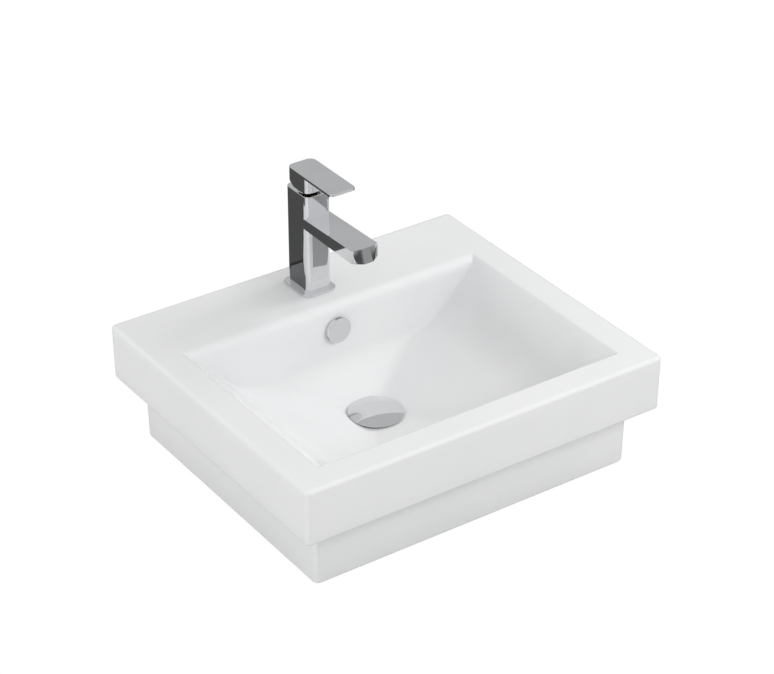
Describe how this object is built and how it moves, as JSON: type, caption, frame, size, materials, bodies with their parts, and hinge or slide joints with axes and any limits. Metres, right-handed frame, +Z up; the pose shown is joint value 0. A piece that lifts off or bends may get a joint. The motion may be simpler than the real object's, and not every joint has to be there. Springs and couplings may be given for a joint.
{
  "type": "counter-top wash basin with tap",
  "caption": "Stepped rectangular ceramic basin with sloping bowl, square single-lever mixer tap, overflow cap and click waste.",
  "frame": {"origin": "centre of the plinth's foot plane, on the basin's middle line", "axes": "+X to the user's right along the width, +Y to the back, where the tap stands, +Z up"},
  "size_m": [0.5198, 0.4498, 0.366],
  "materials": {
    "ceramic_glaze": "white gloss glaze",
    "tap_chrome": "polished chrome plate on brass",
    "waste_chrome": "polished chrome plate on brass",
    "bare_brass": "machined brass",
    "steel": "stainless steel",
    "black_rubber": "matt black rubber",
    "white_plastic": "moulded white plastic",
    "grey_plastic": "moulded grey plastic",
    "disc_ceramic": "lapped alumina",
    "index_plastic": "hot and cold index button"
  },
  "bodies": {
    "root": {"basin": "ceramic_glaze", "tap_body": "tap_chrome", "base_plate": "tap_chrome", "trim_collar": "tap_chrome", "aerator_housing": "tap_chrome", "waste_body": "waste_chrome", "overflow_cap": "waste_chrome", "waste_backnut": "bare_brass", "click_housing": "bare_brass", "cartridge_nut": "bare_brass", "click_spring": "steel", "fixing_stud": "steel", "horseshoe_washer": "steel", "fixing_nut": "steel", "flange_seal": "black_rubber", "waste_gasket": "black_rubber", "base_gasket": "black_rubber", "cartridge_seals": "black_rubber", "aerator_seal": "black_rubber", "horseshoe_gasket": "black_rubber", "slip_washer": "white_plastic", "overflow_sleeve": "white_plastic", "aerator_insert": "white_plastic", "cartridge_base": "grey_plastic", "cartridge_housing": "grey_plastic", "fixed_disc": "disc_ceramic"},
    "waste_plug": {"waste_cap": "waste_chrome", "waste_cap_seal": "black_rubber", "click_plunger": "bare_brass"},
    "swivel": {"swivel_carrier": "grey_plastic", "pivot_pin": "steel"},
    "lever": {"handle": "tap_chrome", "spindle": "bare_brass", "grub_screw": "steel", "index_plug": "index_plastic"},
    "disc_slider": {"moving_disc": "disc_ceramic", "disc_carriage": "white_plastic"}
  },
  "joints": [
    {"name": "handle_swivel", "type": "hinge", "parent": "root", "child": "swivel", "pos_m": [0, 0.167, 0.292], "axis": [0, 0, 1], "range_deg": [-45, 45]},
    {"name": "handle_lift", "type": "hinge", "parent": "swivel", "child": "lever", "pos_m": [0, 0.167, 0.292], "axis": [-1, 0, 0], "range_deg": [0, 22]},
    {"name": "disc_slide", "type": "slide", "parent": "swivel", "child": "disc_slider", "axis": [0, -1, 0], "range_m": [0, 0.0051]},
    {"name": "waste_click", "type": "slide", "parent": "root", "child": "waste_plug", "axis": [0, 0, 1], "range_m": [0, 0.01], "deforming": ["click_spring"]}
  ],
  "couplings": [
    {"joint": "disc_slide", "follows": "handle_lift", "m_per_rad": 0.013}
  ]
}
